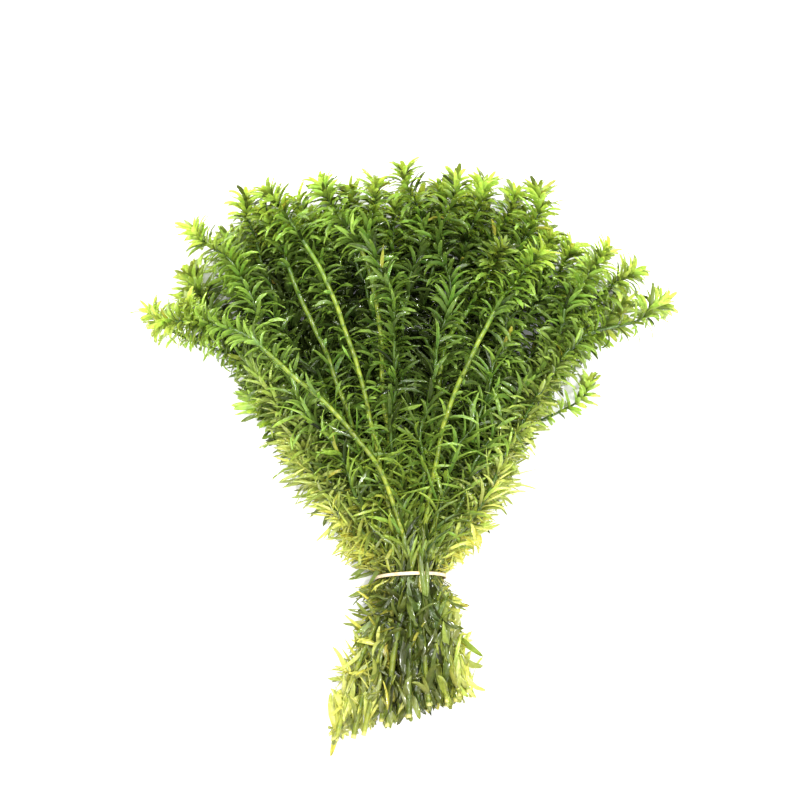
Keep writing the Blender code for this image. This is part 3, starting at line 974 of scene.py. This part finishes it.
def spreadSprays(leaves, neckSide):
    # Beside the band some leaves stand out. On bare stretches only stubs are left
    count, along, left = leaves.count, leaves.along, leaves.across < 0
    outer = neckSide < sprays["from"][0] or neckSide > sprays["from"][1]
    spray = outer & (leaves.outward > 0.3) & (np.abs(along) > 2)
    spray &= (along > np.where(left, *sprays["lowest"])) & (along < sprays["highest"])
    share = np.where(along < -14, np.where(left, *sprays["lowShare"]), sprays["highShare"])
    spray &= random.random(count) < share
    leaves.half = np.where(spray, random.uniform(*sprays["halfWidth"], count), leaves.half)
    reach = np.where(left, *[random.uniform(*each, count) for each in sprays["reach"]])
    reach = reach * (1 - 0.25 * blend(-15, -40, along))
    leaves.length = np.where(spray, reach, leaves.length)
    leaves.lean = np.where(spray, np.radians(random.uniform(*sprays["lean"], count)), leaves.lean)
    leaves.curl = np.where(spray, np.radians(random.uniform(*sprays["curl"], count)), leaves.curl)
    leaves.length = np.where(leaves.stub, random.uniform(2, 6, count), leaves.length)
    leaves.spray = spray


def shapeLeaves(leaves, tipPlace, lowest, radius):
    # The points of every leaf of a shoot
    messy, below = leaves.messy, leaves.below
    twist = random.normal(0, 0.5 + 0.8 * messy)
    drift = random.normal(0, 0.25 + 0.45 * messy) * np.where(below, 0.6, 1)
    sag = random.uniform(0, 0.5, leaves.count) * (0.3 + 0.7 * messy)
    flat = random.uniform(0, 0.5, leaves.count)
    flat = np.maximum(flat, leafGrowth["liesDown"][2] * leaves.upward)
    flat = np.maximum(flat, 0.7 * np.maximum(lowest, below))
    starts = leaves.places + leaves.outs * radius * 0.4
    sizes = np.stack([leaves.length, leaves.half], 1)
    bends = np.stack([leaves.lean, leaves.curl, twist, drift, sag, flat], 1)
    points = leafBodies(starts, leaves.ways, leaves.outs, sizes, bends)
    points = squeeze(points, 1.1 * leaves.spray[:, None])
    for turn, (place, way, *size, _) in enumerate(strays.get(tipPlace, []), 1):
        way = unit(np.array([way]))
        one = np.array([place], float), way, np.array([(0, 0, 1.0)]), np.array([size])
        points[-turn] = leafBodies(*one, np.array([(0, -0.15, 0.8, 0.1, 0, 0.5)]))[0]
    return points


leafShade = {
    "oldAt": 210,  # length behind the tip
    "tones": (0.6, 0.4),  # from leaf to leaf, from shoot to shoot
    # pale, with painted light, near the cut ends
    "paleLitCut": 0.7,
    "litRimAtTip": (0.1, 0.35),  # painted rim light on the tips: in the middle of the crown, and more at its sides
    # painted light on the sprays
    "spray": (0.1, 0.8),
    "depthShade": (0.62, 0.3, 0),  # painted shade in the depth of the bunch, by layer
    "lowDepthShade": (0.62, 0.32),  # painted shade below the band, and how much less at its right
    "lowCrownLight": 0.2,  # painted light: brighter
    # painted light: brighter tips
    "tips": 0.15,
    "shadeByBand": 0.4,  # painted shade: darker in the middle
    "table": 0.7,  # painted shade: this share of the light reaches the leaves on it
    "spent": (0.004, 0.04),  # share of yellow leaves, and more of them below the band
    "spentAmount": (0.5, 0.9),
    "stray": (0.75, 0.4, 0.15, 0.5),  # age, tone, painted rim light, painted shade
}


def shadeLeaves(leaves, tipPlace, layer, cut):
    # How old, tinted and spent each leaf is, with painted rim light at the outline and painted light
    # and shade
    count, along, back, below = leaves.count, leaves.along, leaves.back, leaves.below
    across, edge, spray = leaves.across, leaves.edge, leaves.spray
    away = np.abs(across)
    age = np.clip(back / leafShade["oldAt"] - 0.1 * below, 0, 1)
    pale = paleLitAt(leaves.places)
    ofLeaf, ofShoot = leafShade["tones"]
    tone = ofLeaf * random.random(count) + ofShoot * random.random()
    tone = np.minimum(tone + 0.35 * pale, 1)
    nearCut = 1 - blend(4, 24, along - cut)
    paleLitRim = edge * (0.65 + 0.35 * np.clip(leaves.outward, 0, 1)) * random.uniform(0.5, 1.25, count)
    side = np.where(below, blend(10, 24, np.abs(across + 0.1 * leaves.places[:, 1])), 1)
    # Painted light on the sprays, more at the right below the band
    bright = random.uniform(*leafShade["spray"], count)
    bright *= np.where((across < 0) & (along > -25), 0.4, 1)
    bright += 0.35 * (across > 0) * below
    atCut = leafShade["paleLitCut"] * nearCut * random.random(count)
    paleLitRim = (paleLitRim * side + bright * spray + atCut) * (1 - 0.2 * below)
    inside, outside = leafShade["litRimAtTip"]
    paleLitRim += (1 - blend(10, 34, back)) * (inside + outside * blend(60, 110, away)) * random.random(count)
    paleLitRim = np.clip(paleLitRim, 0, 1)
    # Painted shade: darker in the depth of the bunch, in its hollows and by the band. Painted light:
    # brighter where light falls
    inner = 1 - np.maximum(edge, np.where(below, nearCut, 1 - blend(12, 40, back)))
    lowDeep, lessRight = leafShade["lowDepthShade"]
    deep = np.where(below, lowDeep - lessRight * blend(0, 8, across), leafShade["depthShade"][layer])
    shade = random.beta(1.4, 1.1, count) * (1 - inner * deep)
    lowCrownLight = (1 - blend(40, 80, along)) * (along > 0)
    shade *= lit.get(tipPlace, 1) * (1 - leaves.hollow) * (1 + leafShade["lowCrownLight"] * lowCrownLight)
    shade *= 1 + leafShade["tips"] * (1 - blend(15, 60, back)) + pale
    shadeByBand = np.exp(-((np.clip(along, 0, 90) / 26) ** 2)) * (1 - blend(8, 20, away))
    shade *= 1 - leafShade["shadeByBand"] * shadeByBand
    tableLightShare = leafShade["table"]
    shade = shade * (tableLightShare + (1 - tableLightShare) * blend(8, 34, leaves.places[:, 2]))
    shade = np.clip(np.maximum(shade, paleLitRim), 0, 1)
    spent = random.uniform(0, 0.35, count) + 0.25 * edge * random.random(count) + 0.25 * spray
    usual, low = leafShade["spent"]
    yellow = random.random(count) < usual + low * below
    spent = np.where(yellow, random.uniform(*leafShade["spentAmount"], count), spent)
    for turn, stray in enumerate(strays.get(tipPlace, []), 1):
        age[-turn], tone[-turn], paleLitRim[-turn], shade[-turn] = leafShade["stray"]
        spent[-turn] = stray[4]
    return {"age": age, "tone": tone, "edge": paleLitRim, "shade": shade, "spent": spent}


def meshObject(name, points, faceSets, values, materials, materialIndex, sharp=None):
    # faceSets: arrays of corner numbers, one array for each count of corners
    mesh = bpy.data.meshes.new(name)
    loops = np.concatenate([np.ravel(each) for each in faceSets])
    totals = np.concatenate([np.full(len(each), each.shape[1]) for each in faceSets])
    starts = np.concatenate([[0], np.cumsum(totals)[:-1]])
    mesh.vertices.add(len(points))
    mesh.vertices.foreach_set("co", (points * mm).astype(np.float32).ravel())
    mesh.loops.add(len(loops))
    mesh.loops.foreach_set("vertex_index", loops.astype(np.int32))
    mesh.polygons.add(len(totals))
    mesh.polygons.foreach_set("loop_start", starts.astype(np.int32))
    mesh.polygons.foreach_set("material_index", materialIndex.astype(np.int32))
    mesh.update(calc_edges=True)
    for key, value in values.items():
        attribute = mesh.attributes.new(key, "FLOAT", "POINT")
        attribute.data.foreach_set("value", value.astype(np.float32))
    for material in materials:
        mesh.materials.append(material)
    mesh.shade_smooth()
    if sharp is not None:
        ends = np.zeros(len(mesh.edges) * 2, np.int32)
        mesh.edges.foreach_get("vertices", ends)
        ends = ends.reshape(-1, 2)
        marked = (sharp[ends[:, 0]] > 0) & (sharp[ends[:, 0]] == sharp[ends[:, 1]])
        mesh.attributes.new("sharp_edge", "BOOLEAN", "EDGE").data.foreach_set("value", marked)
    made = bpy.data.objects.new(name, mesh)
    bpy.context.collection.objects.link(made)
    return made


leafStuff, stemStuff = leafMaterial(), stemMaterial()
leafQuads, leafTriangles = leafFaces()
stations = leafShape["stations"]
leafPoints = 4 * len(stations) + 1
# For each point of a leaf: how far along it, on the midrib or not, and which margin it is on
alongPoint = np.append(np.repeat(stations, 4), 1)
ribPoint = np.append(np.tile([0, 1, 0, 1], len(stations)), 0.5)
edgePoint = np.append(np.tile([1, 0, 2, 0], len(stations)), 0)


def makeShoot(number, stem, tipPlace):
    layer, seen = layers[number - 1], tipPlace in bareStretches
    lowest, cut = layer == 0, stem.along[0]
    bendStem(stem, number, tipPlace, layer)
    leaves, joints = placeLeaves(stem, tipPlace, layer)
    growLeaves(leaves, cut, lowest)
    fitCrown(leaves, slender.get(tipPlace, 1))
    spreadSprays(leaves, stem.at(np.zeros(1))[0][0, 0])
    points = shapeLeaves(leaves, tipPlace, lowest, stemShape["radius"][seen])
    leafValues = shadeLeaves(leaves, tipPlace, layer, cut)
    stemPoints, stemQuads, stemEnds, stemValues = stemBody(stem, joints, seen)
    stemPoints = squeeze(stemPoints)
    stemValues = shadeStem(stem, tipPlace, seen, stemValues)
    count, first = leaves.count, len(stemPoints)
    leafValues = {name: np.repeat(value, leafPoints) for name, value in leafValues.items()}
    leafValues["alongLeaf"], leafValues["rib"] = np.tile(alongPoint, count), np.tile(ribPoint, count)
    onStem, onLeaves = np.zeros(first), np.zeros(count * leafPoints)
    values = {}
    for name in ("age", "edge", "shade", "shown", "tone", "alongLeaf", "rib", "spent", "joint"):
        values[name] = np.concatenate([stemValues.get(name, onStem), leafValues.get(name, onLeaves)])
    starts = first + (np.arange(count) * leafPoints)[:, None, None]
    quads = (leafQuads[None] + starts).reshape(-1, 4)
    triangles = (leafTriangles[None] + starts).reshape(-1, 3)
    allPoints = np.concatenate([stemPoints, points.reshape(-1, 3)]) + shift
    sets = [stemQuads, stemEnds, quads, triangles]
    index = np.concatenate([np.ones(len(stemQuads) + 2), np.zeros(len(quads) + len(triangles))])
    sharp = np.concatenate([onStem, np.tile(edgePoint, count)])
    name = f"weed_{number:02d}"
    made = meshObject(name, allPoints, sets, values, [leafStuff, stemStuff], index, sharp)
    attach(made, "root")
    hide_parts(f"shoot_{number:02d}")
    return len(made.data.polygons), count


faces = leaves = 0
for number, (stem, tipPlace) in enumerate(zip(stems, tips), 1):
    made = makeShoot(number, stem, tipPlace)
    faces += made[0]
    leaves += made[1]
print("shoots grown:", number, "leaves:", leaves, "faces:", faces)


rubberBand = {
    "thickness": 0.9,
    "width": 1.7,
    "clear": (1.6, 1.1),  # half a stem, and the leaves between it and the band
    "tilt": 3,
    "skew": 0.6,
    "steps": 120,
    "corners": 10,
    "roundness": 0.6,
    "colour": (0.70, 0.57, 0.38),
    "stain": (0.56, 0.38, 0.18),
    "roughness": (0.6, 0.4),
}


def makeBand():
    steps, corners = rubberBand["steps"], rubberBand["corners"]
    turn = 2 * np.pi * np.arange(steps) / steps - np.pi / 2
    stemHalf, between = rubberBand["clear"]
    inner = np.array(bunch["neck"]) / 2 + stemHalf + between
    edge = 2 * np.pi * np.arange(corners) / corners
    cos, sin, power = np.cos(edge), np.sin(edge), rubberBand["roundness"]
    outward = 0.5 + 0.5 * np.sign(cos) * np.abs(cos) ** power
    sideways = 0.5 * np.sign(sin) * np.abs(sin) ** power
    size = inner[None, None] + (outward * rubberBand["thickness"])[None, :, None]
    across = size[..., 0] * np.cos(turn)[:, None]
    height = bunch["neckMiddle"] + size[..., 1] * np.sin(turn)[:, None]
    height = np.maximum(height, 0.02 + 0.3 * (outward[None] < 0.5))  # it lies flat on the table
    lift = rubberBand["tilt"] * np.sin(turn) + rubberBand["skew"] * np.cos(turn)
    along = sideways[None] * rubberBand["width"] + lift[:, None]
    points = np.stack([across, along, height], -1).reshape(-1, 3) + shift
    ring = np.arange(corners)
    beside = (ring + 1) % corners
    start = (np.arange(steps) * corners)[:, None]
    after = (start + corners) % (steps * corners)
    quads = np.stack([start + ring, after + ring, after + beside, start + beside], -1).reshape(-1, 4)
    made = meshObject("tie", points, [quads], {}, [bandMaterial()], np.zeros(steps * corners))
    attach(made, "root")
    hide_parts("rubber_band")


def bandMaterial():
    made, tree, shader = newMaterial("cream rubber")
    stains = noiseOf(tree, 350)
    colour = rampOf(tree, stains, [(0.3, rubberBand["stain"]), (0.6, rubberBand["colour"])])
    tree.links.new(colour, shader.inputs["Base Color"])
    roughness = mapOf(tree, stains, 0.3, 0.7, *rubberBand["roughness"])
    tree.links.new(roughness, shader.inputs["Roughness"])
    return made


makeBand()
print("rubber band made")


studio = {
    "cameraHeight": 1.6,
    "middle": (-0.0045, 0.0243),
    "frameWidth": 0.4,
    "frameLevel": 0.03,
    "sensor": 36,
    "table": (0.92, 0.92, 0.92, 1),
    "tableRoughness": 0.9,
    "tableShine": 0.1,
    "tableGlow": 0.04,
    "sky": 0.6,
    "lamps": (  # name, place, size, power
        ("overhead", (0.2, 0.25, 1.7), 0.9, 16),
        ("right", (0.9, 0.5, 1.2), 0.09, 14),
        ("left", (-0.8, 0.4, 1.3), 0.09, 9.5),
        ("front", (0.1, -0.9, 1.2), 0.09, 9.5),
        ("back", (-0.1, 1.0, 1.1), 0.09, 10.5),
        ("right front", (0.6, -0.5, 1.4), 0.09, 7),
        ("left front", (-0.5, -0.4, 1.5), 0.09, 6),
        ("left back", (-0.4, 0.7, 1.5), 0.09, 7),
    ),
}


def makeStudio():
    bpy.ops.mesh.primitive_plane_add(size=6, location=(0, 0, 0))
    floor = bpy.context.object
    floor.name = "table"
    white, _, shader = newMaterial("white table")
    setInput(shader, "Base Color", studio["table"])
    setInput(shader, "Roughness", studio["tableRoughness"])
    setInput(shader, "Specular IOR Level", studio["tableShine"])
    setInput(shader, "Emission Color", (1, 1, 1, 1))
    setInput(shader, "Emission Strength", studio["tableGlow"])
    floor.data.materials.append(white)
    world = bpy.data.worlds.new("studio")
    bpy.context.scene.world = world
    world.use_nodes = True
    setInput(world.node_tree.nodes["Background"], "Color", (1, 1, 1, 1))
    setInput(world.node_tree.nodes["Background"], "Strength", studio["sky"])
    for name, place, size, power in studio["lamps"]:
        light = bpy.data.lights.new(name, "AREA")
        light.energy, light.size = power, size
        lamp = bpy.data.objects.new(name, light)
        lamp.location = place
        lamp.rotation_euler = Vector(place).to_track_quat("Z", "Y").to_euler()
        bpy.context.collection.objects.link(lamp)
    camera = bpy.data.objects.new("camera", bpy.data.cameras.new("camera"))
    bpy.context.collection.objects.link(camera)
    camera.location = (*studio["middle"], studio["cameraHeight"])
    camera.data.sensor_width = studio["sensor"]
    distance = studio["cameraHeight"] - studio["frameLevel"]
    camera.data.lens = studio["sensor"] * distance / studio["frameWidth"]
    camera.data.clip_end = 20
    bpy.context.scene.camera = camera
    bpy.context.scene.view_settings.view_transform = "Standard"


makeStudio()
print("studio set")
